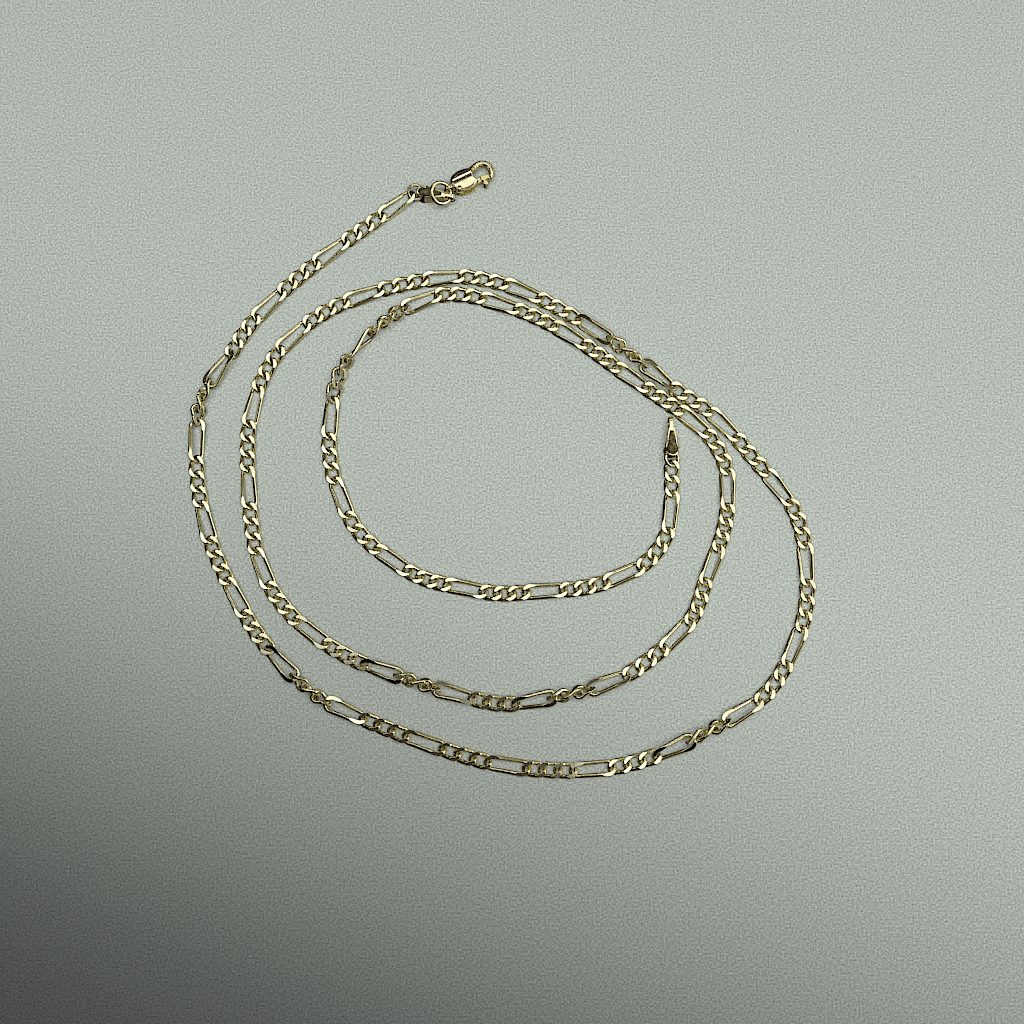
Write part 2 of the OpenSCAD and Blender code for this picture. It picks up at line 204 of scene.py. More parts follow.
def closedTube(line, radius, upright, sides):
    rings = tubeRings(line, radius, upright, sides)
    count = len(line)
    i, j = np.meshgrid(np.arange(count), np.arange(sides), indexing="ij")
    a, b = (i + 1) % count, (j + 1) % sides
    faces = np.stack([i * sides + j, i * sides + b, a * sides + b, a * sides + j], -1).reshape(-1, 4)
    return rings.reshape(-1, 3), faces


def smoothMin(a, b, blend):
    near = np.maximum(blend - np.abs(a - b), 0) / blend
    return np.minimum(a, b) - near * near * blend / 4


def smoothMax(a, b, blend):
    return -smoothMin(-a, -b, blend)


def slopeOf(field, points, reach=0.004):
    parts = []
    for axis in range(3):
        move = np.zeros(3)
        move[axis] = reach
        parts.append((field(points + move) - field(points - move)) / (2 * reach))
    return np.stack(parts, -1)


skin = {"rounds": 5, "leastSlope": 0.05, "longestPull": 0.7}      # the longest pull is a share of a cell


def skinOf(field, low, high, step):
    # one point in each small cell that the surface passes through, pulled onto the surface,
    # and a face round each crossing
    low = np.asarray(low, float)
    counts = np.ceil((np.asarray(high, float) - low) / step).astype(int) + 1
    marks = [low[k] + step * np.arange(counts[k]) for k in range(3)]
    grid = np.stack(np.meshgrid(*marks, indexing="ij"), -1).reshape(-1, 3)
    inside = (field(grid) < 0).reshape(counts)
    cells = counts - 1
    filled = sum(inside[i:i + cells[0], j:j + cells[1], k:k + cells[2]].astype(int)
                 for i, j, k in itertools.product((0, 1), repeat=3))
    edge = (filled > 0) & (filled < 8)
    number = np.full(tuple(cells), -1)
    number[edge] = np.arange(edge.sum())
    points = low + (np.argwhere(edge) + 0.5) * step
    for _ in range(skin["rounds"]):
        slope = slopeOf(field, points)
        steepness = np.maximum((slope ** 2).sum(-1, keepdims=True), skin["leastSlope"])
        pull = field(points)[:, None] * slope / steepness
        length = np.linalg.norm(pull, axis=-1, keepdims=True)
        points = points - pull * np.minimum(1, skin["longestPull"] * step / np.maximum(length, 1e-9))
    faces = []
    for axis in range(3):
        u, v = [k for k in range(3) if k != axis]
        before = np.take(inside, np.arange(cells[axis]), axis)
        after = np.take(inside, np.arange(1, counts[axis]), axis)
        at = np.argwhere(before != after)
        at = at[(at[:, u] > 0) & (at[:, v] > 0) & (at[:, u] < cells[u]) & (at[:, v] < cells[v])]
        corners = []
        for du, dv in ((-1, -1), (0, -1), (0, 0), (-1, 0)):
            cell = at.copy()
            cell[:, u] += du
            cell[:, v] += dv
            corners.append(number[tuple(cell.T)])
        quads = np.stack(corners, -1)
        out = before[tuple(at.T)] == (axis != 1)
        quads[~out] = quads[~out][:, ::-1]
        faces.append(quads)
    return points, np.concatenate(faces), unit(slopeOf(field, points))


def turned(points, degrees, place):
    a = math.radians(degrees)
    spin = np.array([[math.cos(a), -math.sin(a), 0], [math.sin(a), math.cos(a), 0], [0, 0, 1]])
    return points @ spin.T + np.asarray(place, float)


def solidsOf(node):
    # middle and three axes of each solid in a node, from its surface, whose points are joined where they coincide
    mesh = frame["nodes"][node].data
    mesh.calc_loop_triangles()
    co = np.empty(len(mesh.vertices) * 3)
    mesh.vertices.foreach_get("co", co)
    tri = np.empty(len(mesh.loop_triangles) * 3, np.int32)
    mesh.loop_triangles.foreach_get("vertices", tri)
    co = co.reshape(-1, 3) / mm
    spots, which = np.unique(np.round(co, 4), axis=0, return_inverse=True)
    tri = which.reshape(-1)[tri].reshape(-1, 3)
    label = np.arange(len(spots))
    while True:
        lowest = label[tri].min(1)
        new = label.copy()
        np.minimum.at(new, tri.reshape(-1), np.repeat(lowest, 3))
        new = new[new]
        if (new == label).all():
            break
        label = new
    found = []
    groups = label[tri[:, 0]]
    for one in np.unique(groups):
        a, b, c = (spots[tri[groups == one][:, k]] for k in range(3))
        area = np.linalg.norm(np.cross(b - a, c - a), axis=1) / 2
        centre = (a + b + c) / 3
        middle = (centre * area[:, None]).sum(0) / area.sum()
        a, b, c, centre = a - middle, b - middle, c - middle, centre - middle
        spread = sum(np.einsum("n,ni,nj->ij", area / 12 * w, q, q)
                     for w, q in ((9, centre), (1, a), (1, b), (1, c)))
        axes = np.linalg.eigh(spread)[1][:, ::-1]
        if np.linalg.det(axes) < 0:
            axes[:, 2] *= -1
        found.append((middle, axes))
    return found


chain = {
    "width": 2.43,         # over a link
    "wire": 0.61,
    "cut": 0.53,           # from a link's middle down to its lower cut, which it lies on
    "edge": 0.035,         # width of the soft edge round a cut
    "edgeDrop": 0.012,
    "restHeight": 0.54,    # of a flat link's middle
    "drop": 0.2,           # how much lower than round wire the turned links lie, once cut
    "clear": 0.006,        # of the floor
    "sides": 20,
    "cutDist": 0.003,      # points this close to a cut belong to it
    "weld": 0.012,         # points closer than this become one
    "cutCorners": 8,       # a face with more corners than this is a cut
    "flat": 0.985,         # a link whose own up is at least this much the room's up lies flat
    # half: from a link's middle to its wire's at the end; sweep: of a corner, in degrees;
    # bend and straight: points in each; top: from a link's middle up to its upper cut
    "short": {"half": 1.57, "sweep": 110, "bend": 9, "straight": 4, "top": 0.53},
    "long": {"half": 3.275, "sweep": 98, "bend": 9, "straight": 9, "top": 0.61},
}


def linkLine(kind):
    # the line in the middle of a twisted link's wire
    look = chain[kind]
    bend = (chain["width"] - chain["wire"]) / 2
    half, sweep = look["half"], math.radians(look["sweep"])
    k, c = bend / half, -math.cos(sweep)
    root = math.sqrt(c ** 4 * (1 - k * k) ** 2 + 4 * k * k * c * c)
    tilt = math.asin(math.sqrt((root - c * c * (1 - k * k)) / (2 * k * k)))
    slope = math.atan(k * math.tan(tilt))
    start = np.array([0, math.cos(tilt), -math.sin(tilt)])
    end = np.array([-math.cos(slope), 0, math.sin(slope)])
    radius = bend / (math.cos(tilt) * math.tan(sweep / 2))
    inward = (end - start * math.cos(sweep)) / math.sin(sweep)
    middle = np.array([half, 0, 0]) + radius * inward
    corner = np.array([middle + radius * (start * math.sin(a) - inward * math.cos(a))
                       for a in np.linspace(0, sweep, look["bend"])])
    under, opposite, over = corner * [1, -1, -1], corner * [-1, -1, 1], corner * [-1, 1, -1]
    steps = np.linspace(0, 1, look["straight"] + 2)[1:-1, None]
    return np.concatenate([
        under[::-1], corner[1:], corner[-1] + (over[-1] - corner[-1]) * steps,
        over[::-1], opposite[1:], opposite[-1] + (under[-1] - opposite[-1]) * steps])


def linkMesh(kind):
    # round wire, cut flat above and below, with a soft edge round each cut
    points, faces = closedTube(linkLine(kind), chain["wire"] / 2, np.array([0.0, 0.0, 1.0]), chain["sides"])
    bm = bmesh.new()
    made = [bm.verts.new(p) for p in points]
    for f in faces:
        bm.faces.new([made[k] for k in f])
    heights = {1: chain[kind]["top"], -1: -chain["cut"]}
    for way, height in heights.items():
        everything = bm.verts[:] + bm.edges[:] + bm.faces[:]
        bmesh.ops.bisect_plane(bm, geom=everything, dist=chain["cutDist"], plane_co=(0, 0, height),
                               plane_no=(0, 0, way), clear_outer=True)
    rim = [e for e in bm.edges if e.is_boundary]
    bmesh.ops.holes_fill(bm, edges=rim, sides=0)
    bmesh.ops.remove_doubles(bm, verts=bm.verts[:], dist=chain["weld"])
    bmesh.ops.recalc_face_normals(bm, faces=bm.faces[:])
    cuts = [f for f in bm.faces if len(f.verts) > chain["cutCorners"]]
    outer = {v for f in cuts for v in f.verts}
    for v in outer:
        v.co.z = heights[1 if v.co.z > 0 else -1]
    bmesh.ops.inset_individual(bm, faces=cuts, thickness=chain["edge"], use_even_offset=True)
    for v in outer:
        v.co.z -= math.copysign(chain["edgeDrop"], v.co.z)
    kept = set(cuts)
    bm.verts.index_update()
    shape = (np.array([v.co for v in bm.verts]), [[v.index for v in f.verts] for f in bm.faces],
             [1 if f in kept else 0 for f in bm.faces])
    bm.free()
    return shape


def linkPlace(middle, axes, points):
    # a flat link lies on its cut faces; a turned one keeps its turn and comes down with its neighbours
    if abs(axes[2, 2]) > chain["flat"]:
        ahead = unit(axes[:, 0] * [1, 1, 0])
        up = np.array([0.0, 0.0, 1.0])
        return np.array([middle[0], middle[1], chain["restHeight"]]), np.stack([ahead, np.cross(up, ahead), up], -1)
    lowest = middle[2] + (points @ axes.T)[:, 2].min()
    return middle - [0, 0, min(chain["drop"], lowest - chain["clear"])], axes


def addLinks(kind, node, pieces):
    points, faces, slots = linkMesh(kind)
    found = solidsOf(node)
    for part in range(pieces):
        allPoints, allFaces, allSlots = [], [], []
        for n, (middle, axes) in enumerate(found[part::pieces]):
            place, turn = linkPlace(middle, axes, points)
            allPoints.append(points @ turn.T + place)
            allFaces += [[k + n * len(points) for k in f] for f in faces]
            allSlots += slots
        piece = addPiece(f"{node}_{part + 1}", np.concatenate(allPoints), allFaces,
                         [gold["wireGold"], gold["cutGold"]], allSlots, flatSlots=(1,))
        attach(piece, "necklace")
        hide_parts(node)
    print(kind, "links", len(found), "faces each", len(faces))


addLinks("short", "short_links", 3)
addLinks("long", "long_links", 1)


rings = {
    "end_ring_outer": {"radius": 1.12, "wire": 0.5},
    "end_ring_inner": {"radius": 1.12, "wire": 0.5},
    "jump_ring": {"radius": 1.65, "wire": 0.64},
}
ringPoints, ringSides = 72, 24


def addRing(node):
    look = rings[node]
    middle, axes = solidsOf(node)[0]
    turn = np.linspace(0, 2 * math.pi, ringPoints, endpoint=False)
    line = look["radius"] * np.stack([np.cos(turn), np.sin(turn), 0 * turn], -1)
    points, faces = closedTube(line, look["wire"] / 2, np.array([0.0, 0.0, 1.0]), ringSides)
    piece = addPiece(node + "_polished", points @ axes.T + middle, faces, [gold["castGold"]])
    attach(piece, "necklace")
    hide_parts(node)


for ringNode in rings:
    addRing(ringNode)
print("rings made")


tag = {
    "long": 6.3, "wide": 2.35, "high": 2.1, "crown": 1.8,
    "pin": 0.2, "pinEdge": 0.35, "slot": 1.56, "slotEnd": 1.03,
    "eye": 0.88, "eyeHole": 0.62, "eyeThick": 0.7, "flare": 0.1, "rise": 2,
    "blend": 0.16, "sharp": 0.05, "slotBlend": 0.06, "eyeBlend": 0.14, "tipBlend": 0.2,
    "rim": 0.27, "panelDeep": 0.11, "panelEnd": 3.6, "panelSlope": 0.5,
    "panelLevel": 0.75, "panelShare": 0.6,     # how level and how deep a face is that counts as the panel
    "step": 0.055, "from": (-0.6, -1.4, -1.3), "to": (6.2, 1.4, 1.3),
}
tagTurns = {"tag_outer": -9, "tag_inner": 91}     # degrees


def topSlope(p):
    fall = math.atan((tag["high"] / 2 - tag["eye"]) / (tag["long"] - tag["pinEdge"] - tag["eye"] - tag["wide"] / 2))
    return (p[:, 2] - tag["high"] / 2) * math.cos(fall) + np.maximum(p[:, 0] - tag["wide"] / 2, 0) * math.sin(fall)


def topCrown(p):
    return np.hypot(p[:, 1], p[:, 2] - tag["high"] / 2 + tag["crown"]) - tag["crown"]


def topOf(p):
    return np.maximum(topSlope(p), topCrown(p))


def tagField(p):
    x, y, z = p[:, 0], p[:, 1], p[:, 2]
    wide = tag["wide"] / 2
    wideX = wide - tag["pinEdge"]
    eyeX = tag["long"] - tag["pinEdge"] - tag["eye"]
    blend = tag["blend"]
    head = np.hypot(x - wideX, y) - wide
    neck = tag["eyeThick"] / 2 + tag["flare"]
    run = eyeX - tag["eye"] - wideX
    fall = math.atan((wide - neck) / run)
    side = (np.abs(y) - wide) * math.cos(fall) + (x - wideX) * math.sin(fall)
    body = np.maximum(np.maximum(side, wideX - x), x - (eyeX - tag["eye"]))
    # the tip runs from two radii before the eye's middle to one past it
    tip = np.maximum(np.abs(y) - tag["eyeThick"] / 2, np.abs(x - eyeX + 0.5 * tag["eye"]) - 1.5 * tag["eye"])
    plan = smoothMin(np.minimum(head, body), tip, tag["tipBlend"])
    top, crown = topSlope(p), topCrown(p)
    lowFall = math.atan((tag["high"] / 2 - tag["eye"]) / tag["rise"])
    low = (-z - tag["high"] / 2) * math.cos(lowFall) + np.maximum(x - eyeX + tag["rise"], 0) * math.sin(lowFall)
    roundTip = np.hypot(np.maximum(x - eyeX, 0), z) - tag["eye"]
    profile = np.where(x > eyeX, roundTip, np.maximum(top, low))
    solid = smoothMax(smoothMax(plan, crown, blend), profile, blend)
    solid = smoothMax(solid, -z - tag["high"] / 2, tag["sharp"])
    slot = np.maximum(x - tag["slotEnd"], np.abs(z) - tag["slot"] / 2)
    pin = np.hypot(x, y) - tag["pin"]
    solid = smoothMax(solid, -np.maximum(slot, -pin), tag["slotBlend"])
    hole = np.hypot(x - eyeX, z) - tag["eyeHole"]
    solid = smoothMax(solid, -hole, tag["eyeBlend"])
    above = np.maximum(top, crown) + tag["panelDeep"]
    panelPlan = np.maximum(plan + tag["rim"] + np.maximum(above, 0) * tag["panelSlope"], x - tag["panelEnd"])
    panel = np.maximum(panelPlan, -np.maximum(top, crown) - tag["panelDeep"])
    return smoothMax(solid, -panel, tag["sharp"])


def addTag(node):
    points, faces, normals = skinOf(tagField, tag["from"], tag["to"], tag["step"])
    low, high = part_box(node)
    flat = points
    points = turned(points, tagTurns[node], (0, 0, 0))
    place = (np.array(low) + np.array(high)) / 2 / mm - (points.min(0) + points.max(0)) / 2
    middle, lie = flat[faces].mean(1), normals[faces].mean(1)
    inPanel = ((lie[:, 2] > tag["panelLevel"]) & (middle[:, 0] < tag["panelEnd"])
               & (topOf(middle) < -tag["panelShare"] * tag["panelDeep"]))
    piece = addPiece(node + "_cast", points + place, faces, [gold["castGold"], gold["panelGold"]],
                     inPanel.astype(int), normals=turned(normals, tagTurns[node], (0, 0, 0)))
    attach(piece, "necklace")
    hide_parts(node)


for tagNode in tagTurns:
    addTag(tagNode)
print("tags made")


clasp = {
    "turn": 27,            # degrees
    "long": 4.7, "wide": 4.05, "high": 2.3,
    "bodyX": 0.45, "widest": 0.49, "backShare": 0.555, "backRadius": 2.45, "frontRadius": 3.0,
    "crown": 3.2, "crownY": -0.2, "baseCut": 0.1,
    "eye": 0.87, "eyeHole": 0.62, "eyeThick": 0.6, "eyeLift": 0.177,
    "hookAt": (5.9, 0.1), "hookRadius": 1.45, "hookWire": 0.95, "hookFrom": -80, "hookTo": 105,
    "root": 1.02, "rootLong": 1.35, "collars": (0.55, 0.9), "collarWide": 0.22, "collar": 1.15,
    "mouthAt": 5.8, "mouth": 1.6, "tipY": -0.4,
    "pivot": (1.35, -0.9), "rivet": 0.3, "rivetHole": 0.32, "rivetLong": 2.06,
    "slot": 1.1, "head": 0.65, "gap": 0.15, "gateWide": 0.85, "reach": 5.2, "swing": 18,
    "neckHigh": 0.5, "neckLong": 0.95, "hookSwell": 0.08, "overlap": 0.02, "collarOut": 0.02,
    "step": 0.06, "from": (-1.1, -2.2, -1.3), "to": (8.1, 2.6, 1.3),
}
# how wide the clasp's edges are rounded where two of its shapes meet
claspBlend = {
    "fine": 0.04, "sharp": 0.05, "hookCut": 0.08, "root": 0.1, "eyeJoin": 0.1, "eyeHole": 0.12,
    "collar": 0.16, "mouth": 0.16, "hook": 0.18, "ends": 0.2, "eye": 0.2, "sides": 0.3, "crown": 0.55,
}


def roundBar(along, across, radius, low, high, blend):
    return smoothMax(across - radius, np.maximum(low - along, along - high), blend)


def hookField(p):
    x, y, z = p[:, 0] - clasp["hookAt"][0], p[:, 1] - clasp["hookAt"][1], p[:, 2]
    start, end = math.radians(clasp["hookFrom"]), math.radians(clasp["hookTo"])
    middle = (start + end) / 2
    angle = np.arctan2(y, x) - middle
    angle = np.clip((angle + math.pi) % (2 * math.pi) - math.pi, start - middle, end - middle) + middle
    share = (angle - start) / (end - start)
    thick = clasp["hookWire"] / 2 * (1 + clasp["hookSwell"] * share)
    outX, outY = x - clasp["hookRadius"] * np.cos(angle), y - clasp["hookRadius"] * np.sin(angle)
    ring = np.sqrt(outX ** 2 + outY ** 2 + z * z) - thick
    fromPivot = np.hypot(p[:, 0] - clasp["pivot"][0], p[:, 1] - clasp["pivot"][1])
    cut = np.maximum(fromPivot - clasp["reach"] - clasp["gap"], p[:, 1] - clasp["tipY"])
    ring = smoothMax(ring, -cut, claspBlend["hookCut"])
    way = end + math.pi / 2
    fromX = x - clasp["hookRadius"] * math.cos(end)
    fromY = y - clasp["hookRadius"] * math.sin(end)
    along = fromX * math.cos(way) + fromY * math.sin(way)
    across = np.hypot(fromY * math.cos(way) - fromX * math.sin(way), z)
    bar = roundBar(along, across, clasp["root"] / 2, -clasp["overlap"], clasp["rootLong"], claspBlend["sharp"])
    both = smoothMin(ring, bar, claspBlend["root"])
    radius, half = clasp["collar"] / 2 + clasp["collarOut"], clasp["collarWide"] / 2
    for at in clasp["collars"]:
        collar = roundBar(along, across, radius, at - half, at + half, claspBlend["collar"])
        both = smoothMin(both, collar, claspBlend["sharp"])
    return both


def claspField(p):
    x, y, z = p[:, 0], p[:, 1], p[:, 2]
    middle = clasp["bodyX"] + clasp["widest"] * clasp["long"]
    backWide = clasp["backShare"] * clasp["wide"]
    frontWide = clasp["wide"] - backWide
    high = clasp["high"] / 2
    back = np.hypot(x - middle, y - backWide + clasp["backRadius"]) - clasp["backRadius"]
    front = np.hypot(x - middle, y - clasp["frontRadius"] + frontWide) - clasp["frontRadius"]
    over = np.hypot(y - clasp["crownY"], z - high + clasp["crown"]) - clasp["crown"]
    under = np.hypot(y - clasp["crownY"], z + high + clasp["baseCut"] - clasp["crown"]) - clasp["crown"]
    ends = np.maximum(clasp["bodyX"] - x, x - clasp["bodyX"] - clasp["long"])
    body = smoothMax(smoothMax(back, front, claspBlend["sides"]), ends, claspBlend["ends"])
    base = smoothMax(under, -z - high, claspBlend["sharp"])
    body = smoothMax(smoothMax(body, over, claspBlend["crown"]), base, claspBlend["sides"])
    lift = z - clasp["eyeLift"]
    neck = np.maximum(np.maximum(np.abs(y) - clasp["eyeThick"] / 2, np.abs(lift) - clasp["neckHigh"]),
                      np.maximum(-x, x - clasp["neckLong"]))
    body = smoothMin(body, neck, claspBlend["sides"])
    mouth = np.hypot(x - clasp["mouthAt"], y - clasp["hookAt"][1]) - clasp["mouth"]
    body = smoothMax(body, -mouth, claspBlend["mouth"])
    qx, qy = x - clasp["pivot"][0], y - clasp["pivot"][1]
    wall = clasp["gateWide"] / 2 + clasp["gap"]
    a = math.radians(clasp["swing"])
    tx, ty = qx * math.cos(a) + qy * math.sin(a), qy * math.cos(a) - qx * math.sin(a)
    room = np.minimum(np.hypot(qx, qy) - clasp["head"] - clasp["gap"],
                      np.minimum(np.maximum(-qx, qy - wall), np.maximum(-tx, ty - wall)))
    room = np.maximum(room, np.abs(z) - clasp["slot"] / 2)
    body = smoothMax(body, -room, claspBlend["sharp"])
    body = smoothMin(body, hookField(p), claspBlend["hook"])
    eye = smoothMax(np.hypot(x, lift) - clasp["eye"], np.abs(y) - clasp["eyeThick"] / 2, claspBlend["eye"])
    body = smoothMin(body, eye, claspBlend["eyeJoin"])
    body = smoothMax(body, clasp["eyeHole"] - np.hypot(x, lift), claspBlend["eyeHole"])
    return smoothMax(body, clasp["rivetHole"] - np.hypot(qx, qy), claspBlend["fine"])


lever = {
    "thick": 0.8, "gateThick": 1.5, "tongueEnd": 3.95, "gateFrom": 3.75, "reach": 5.2,
    "topFall": 0.3, "knee": (0.8, 0.05), "tipFall": 0.25, "nub": 0.4, "nubOut": 0.55, "nubStem": 0.6, "bore": 0.36,
    "fine": 0.04, "join": 0.1, "tongueBlend": 0.12, "gateBlend": 0.14, "nubBlend": 0.2,
    "step": 0.05, "from": (-0.8, -1.4, -0.9), "to": (5.4, 0.8, 0.9),
}


def leverField(p):
    x, y, z = p[:, 0], p[:, 1], p[:, 2]
    wide = clasp["gateWide"] / 2
    tongue = np.minimum(np.hypot(x, y) - clasp["head"],
                        np.maximum(np.abs(y) - wide, np.maximum(-x, x - lever["tongueEnd"])))
    tongue = smoothMax(tongue, np.abs(z) - lever["thick"] / 2, lever["tongueBlend"])
    start, reach, knee = lever["gateFrom"], lever["reach"], lever["knee"]
    upper = y - wide + lever["topFall"] * np.clip((x - start) / (reach - start), 0, 1)
    past = np.clip((x - start - knee[0]) / (reach - start - knee[0]), 0, 1)
    lower = -y - wide - knee[1] * np.clip((x - start) / knee[0], 0, 1) - (lever["tipFall"] - knee[1]) * past
    gate = smoothMax(smoothMax(upper, lower, lever["join"]), np.maximum(start - x, np.hypot(x, y) - reach),
                     lever["join"])
    nubX, nubY = start + lever["nub"], -wide - lever["nubOut"]
    stem = np.maximum(np.abs(x - nubX) - lever["nubStem"] * lever["nub"],
                      np.abs(y - nubY - lever["nub"]) - lever["nub"])
    nub = np.minimum(np.hypot(x - nubX, y - nubY) - lever["nub"], stem)
    gate = smoothMin(gate, nub, lever["nubBlend"])
    gate = smoothMax(gate, np.abs(z) - lever["gateThick"] / 2, lever["gateBlend"])
    both = smoothMin(tongue, gate, lever["join"])
    return smoothMax(both, lever["bore"] - np.hypot(x, y), lever["fine"])


def claspPlace():
    # the clasp's own zero, worked back from where the frame says that its lever turns
    pivot = np.array(frame["joints"][0]["pos_m"]) / mm
    arm = turned(np.array([[*clasp["pivot"], 0.0]]), clasp["turn"], (0, 0, 0))[0]
    return pivot - arm, pivot


def addClasp():
    zero, pivot = claspPlace()
    points, faces, normals = skinOf(claspField, clasp["from"], clasp["to"], clasp["step"])
    body = addPiece("clasp_body_cast", turned(points, clasp["turn"], zero), faces, [gold["castGold"]],
                    normals=turned(normals, clasp["turn"], (0, 0, 0)))
    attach(body, "necklace")
    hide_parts("clasp_body")
    points, faces, normals = skinOf(leverField, lever["from"], lever["to"], lever["step"])
    arm = addPiece("clasp_lever_cast", turned(points, clasp["turn"], pivot), faces, [gold["leverGold"]],
                   normals=turned(normals, clasp["turn"], (0, 0, 0)))
    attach(arm, "lever")
    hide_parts("clasp_lever")
    return pivot


rivetDome = ((0, 0), (0.5, 0.012), (0.85, 0.04), (1, 0.1))     # shares of the radius, and how far down each is
rivetSides = 32


def addRivet(pivot):
    # a short pin with slightly domed, burnished ends
    half, radius, sides = clasp["rivetLong"] / 2, clasp["rivet"], rivetSides
    outline = [(radius * share, half - drop) for share, drop in rivetDome]
    outline += [(r, -h) for r, h in reversed(outline)]
    turn = np.linspace(0, 2 * math.pi, sides, endpoint=False)
    points = [(r * math.cos(a), r * math.sin(a), h) for r, h in outline for a in turn]
    faces = [[i * sides + j, (i + 1) * sides + j, (i + 1) * sides + (j + 1) % sides, i * sides + (j + 1) % sides]
             for i in range(len(outline) - 1) for j in range(sides)]
    piece = addPiece("clasp_rivet_burnished", np.array(points) + pivot, faces, [gold["castGold"]])
    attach(piece, "necklace")
    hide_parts("clasp_rivet")


addRivet(addClasp())
print("clasp made")


studio = {
    "floorSize": 4.0,
    "floor": ((0.28, 0.307, 0.281), (0.628, 0.678, 0.632)),
    "roughness": 0.75, "specular": 0.25,
    "grain": 0.3, "grainDetail": 6, "grainRoughness": 0.7, "grainDepth": 0.02, "grainStrength": 0.5,
    "crispness": 0.1,
}
# the studio's own measures, of lamps, cards and the floor's side, are in metres
lamps = [
    {"name": "ceilingSoftbox", "place": (0.035, -0.11, 0.60), "aim": (0.035, -0.11, 0.0), "size": (0.63, 0.62),
     "power": 4.6, "colour": (1.0, 1.0, 0.985)},
]
# what the polished gold shows: cards overhead, one of them dark, long ones at four sides,
# and a room that is dark at the left
cards = [
    {"name": "overheadCard", "place": (0.005, 0.17, 0.60), "aim": (0.005, 0.17, 0.0), "size": (0.51, 0.36),
     "colour": (0.98, 1.0, 0.94), "glow": (0.75, 1.5), "mottle": 30},
    {"name": "nearOverheadCard", "place": (0.153, -0.065, 0.60), "aim": (0.153, -0.065, 0.0), "size": (0.215, 0.11),
     "colour": (0.98, 1.0, 0.94), "glow": (0.75, 1.5), "mottle": 30},
    {"name": "darkCard", "place": (-0.07, -0.075, 0.60), "aim": (-0.07, -0.075, 0.0), "size": (0.23, 0.13),
     "colour": (1.0, 0.85, 0.6), "glow": (0.015, 0.06), "mottle": 20},
    {"name": "rightCard", "place": (0.45, 0.03, 0.44), "aim": (0.0, 0.0, 0.0), "size": (0.6, 0.17),
     "colour": (1.0, 0.99, 0.9), "glow": (1.7, 3.4), "mottle": 60},
    {"name": "farCard", "place": (0.0, 0.62, 0.42), "aim": (0.0, 0.0, 0.0), "size": (0.7, 0.13),
     "colour": (1.0, 0.98, 0.86), "glow": (1.4, 3.0), "mottle": 60},
    {"name": "leftCard", "place": (-0.48, 0.1, 0.42), "aim": (0.0, 0.0, 0.0), "size": (0.5, 0.08),
     "colour": (1.0, 0.97, 0.84), "glow": (1.1, 2.4), "mottle": 60},
    {"name": "nearCard", "place": (0.06, -0.50, 0.42), "aim": (0.0, 0.0, 0.0), "size": (0.5, 0.09),
     "colour": (1.0, 0.97, 0.84), "glow": (1.1, 2.4), "mottle": 60},
]
cardDetail = 2
room = {
    "plain": (0.13, 0.135, 0.13), "radius": 3.0, "rows": 16, "around": 32,
    "brightSide": (0.95, -0.1, -0.1), "sideShare": 0.5, "patch": 2.4, "patchDetail": 1, "unevenness": 1.3,
    "tones": ((0.3, (0.03, 0.028, 0.02)), (0.55, (0.10, 0.092, 0.068)), (0.85, (0.46, 0.45, 0.37))),
}
shade = {"height": 80, "edge": ((-66, -32), (30, -74)), "reach": 240, "density": 0.9, "colour": (0.01, 0.01, 0.01)}


def addFloor():
    material, tree, shader = newMaterial("paleBoard")
    place = tree.nodes.new("ShaderNodeTexCoord").outputs["Object"]
    shader.inputs["Roughness"].default_value = studio["roughness"]
    shader.inputs["Specular IOR Level"].default_value = studio["specular"]
    grain = noiseNode(tree, studio["grain"], studio["grainDetail"], place, studio["grainRoughness"])
    tree.links.new(tintNode(tree, grain, *studio["floor"]), shader.inputs["Base Color"])
    bumpNode(tree, shader, grain, studio["grainDepth"], studio["grainStrength"])
    half = studio["floorSize"] / 2 / mm
    floor = addPiece("floor", [(-half, -half, 0), (half, -half, 0), (half, half, 0), (-half, half, 0)],
                     [[0, 1, 2, 3]], [material])
    floor.visible_glossy = False


def addShade():
    # a dark card over the lower left, as soft-edged on the floor as it is high
    material, tree, shader = newMaterial("shadeCard")
    shader.inputs["Base Color"].default_value = (*shade["colour"], 1)
    shader.inputs["Roughness"].default_value = 1
    shader.inputs["Alpha"].default_value = shade["density"]
    a, b = (np.array([*spot, shade["height"]], float) for spot in shade["edge"])
    ahead = unit(b - a)
    away = np.cross(ahead, [0, 0, 1])
    far = shade["reach"]
    corners = [a - ahead * far, b + ahead * far, b + (ahead + away) * far, a + (away - ahead) * far]
    card = addPiece("shadeCard", corners, [[0, 1, 2, 3]], [material])
    card.visible_camera = False


def hide(card):
    # seen only in the gold's reflections, so no light is sampled from it elsewhere
    card.data.materials[0].cycles.emission_sampling = "NONE"
    card.visible_camera = False
    card.visible_diffuse = False
    card.visible_shadow = False


def addCards():
    for look in cards:
        material, tree, shader = newMaterial(look["name"])
        shader.inputs["Base Color"].default_value = (0, 0, 0, 1)
        shader.inputs["Emission Color"].default_value = (*look["colour"], 1)
        place = tree.nodes.new("ShaderNodeTexCoord").outputs["Object"]
        mottle = noiseNode(tree, look["mottle"], cardDetail, place)
        tree.links.new(spanNode(tree, mottle, *look["glow"]), shader.inputs["Emission Strength"])
        wide, high = (side / 2 / mm for side in look["size"])
        card = addPiece(look["name"], [(-wide, -high, 0), (wide, -high, 0), (wide, high, 0), (-wide, high, 0)],
                        [[0, 1, 2, 3]], [material])
        card.location = look["place"]
        card.rotation_euler = (Vector(look["aim"]) - Vector(look["place"])).to_track_quat("-Z", "Y").to_euler()
        hide(card)


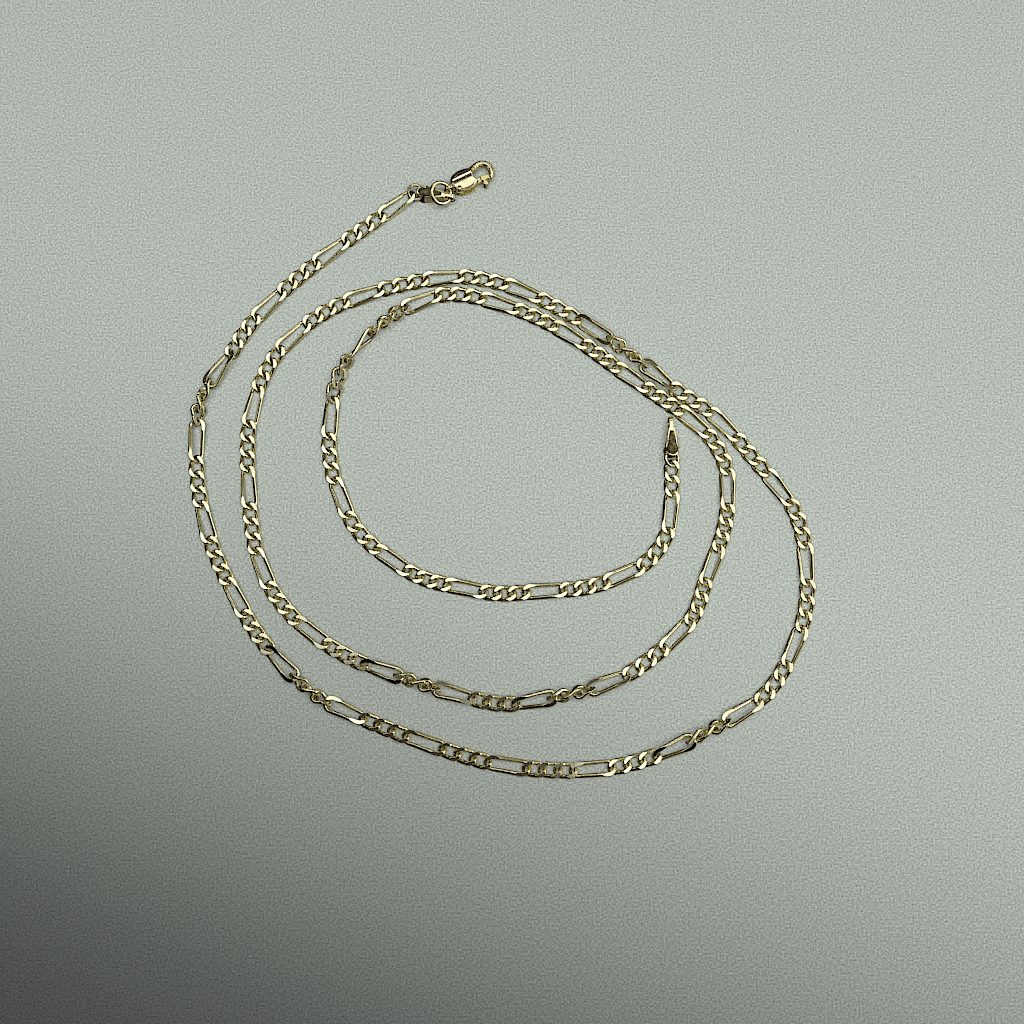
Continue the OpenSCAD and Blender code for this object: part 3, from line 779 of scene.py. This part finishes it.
def addRoom():
    # a plain grey world, and round it a dome that only the polished gold shows
    world = bpy.data.worlds.new("plainGrey")
    scene.world = world
    world.use_nodes = True
    world.node_tree.nodes["Background"].inputs["Color"].default_value = (*room["plain"], 1)
    material, tree, shader = newMaterial("roomDome")
    shader.inputs["Base Color"].default_value = (0, 0, 0, 1)
    shader.inputs["Emission Strength"].default_value = 1
    way = tree.nodes.new("ShaderNodeVectorMath")
    way.operation = "NORMALIZE"
    tree.links.new(tree.nodes.new("ShaderNodeTexCoord").outputs["Object"], way.inputs[0])
    side = tree.nodes.new("ShaderNodeVectorMath")
    side.operation = "DOT_PRODUCT"
    side.inputs[1].default_value = room["brightSide"]
    tree.links.new(way.outputs["Vector"], side.inputs[0])
    patches = tree.nodes.new("ShaderNodeTexNoise")
    patches.inputs["Scale"].default_value = room["patch"]
    patches.inputs["Detail"].default_value = room["patchDetail"]
    tree.links.new(way.outputs["Vector"], patches.inputs["Vector"])
    uneven = tree.nodes.new("ShaderNodeMapRange")
    uneven.clamp = False
    uneven.inputs["To Min"].default_value = 0.5 - room["unevenness"] / 2
    uneven.inputs["To Max"].default_value = 0.5 + room["unevenness"] / 2
    tree.links.new(patches.outputs["Fac"], uneven.inputs["Value"])
    tone = tree.nodes.new("ShaderNodeMath")
    tone.operation = "MULTIPLY_ADD"
    tone.inputs[1].default_value = room["sideShare"]
    tree.links.new(side.outputs["Value"], tone.inputs[0])
    tree.links.new(uneven.outputs["Result"], tone.inputs[2])
    ramp = tree.nodes.new("ShaderNodeValToRGB")
    while len(ramp.color_ramp.elements) < len(room["tones"]):
        ramp.color_ramp.elements.new(0.5)
    for element, (at, colour) in zip(ramp.color_ramp.elements, room["tones"]):
        element.position = at
        element.color = (*colour, 1)
    tree.links.new(tone.outputs["Value"], ramp.inputs["Fac"])
    tree.links.new(ramp.outputs["Color"], shader.inputs["Emission Color"])
    rows, count = room["rows"], room["around"]
    around = np.linspace(0, 2 * math.pi, count, endpoint=False)
    rise = np.linspace(-math.pi / 2, math.pi / 2, rows + 1)
    points = [(math.cos(b) * math.cos(a), math.cos(b) * math.sin(a), math.sin(b)) for b in rise for a in around]
    faces = [[i * count + j, i * count + (j + 1) % count, (i + 1) * count + (j + 1) % count, (i + 1) * count + j]
             for i in range(rows) for j in range(count)]
    hide(addPiece("roomDome", np.array(points) * room["radius"] / mm, faces, [material]))


def addSharpness():
    # the photograph is crisp to the pixel
    scene.use_nodes = True
    tree = scene.node_tree
    tree.nodes.clear()
    layers = tree.nodes.new("CompositorNodeRLayers")
    crisp = tree.nodes.new("CompositorNodeFilter")
    crisp.filter_type = "SHARPEN"
    crisp.inputs["Fac"].default_value = studio["crispness"]
    result = tree.nodes.new("CompositorNodeComposite")
    tree.links.new(layers.outputs["Image"], crisp.inputs["Image"])
    tree.links.new(crisp.outputs["Image"], result.inputs["Image"])


def addLights():
    for look in lamps:
        data = bpy.data.lights.new(look["name"], "AREA")
        data.shape = "RECTANGLE"
        data.size, data.size_y = look["size"]
        data.energy = look["power"]
        data.color = look["colour"]
        lamp = bpy.data.objects.new(look["name"], data)
        lamp.location = look["place"]
        lamp.rotation_euler = (Vector(look["aim"]) - Vector(look["place"])).to_track_quat("-Z", "Y").to_euler()
        lamp.visible_glossy = False
        scene.collection.objects.link(lamp)
    scene.view_settings.view_transform = "Standard"
    scene.view_settings.look = "None"


addFloor()
addShade()
addCards()
addRoom()
addLights()
addSharpness()
print("floor and lights made")
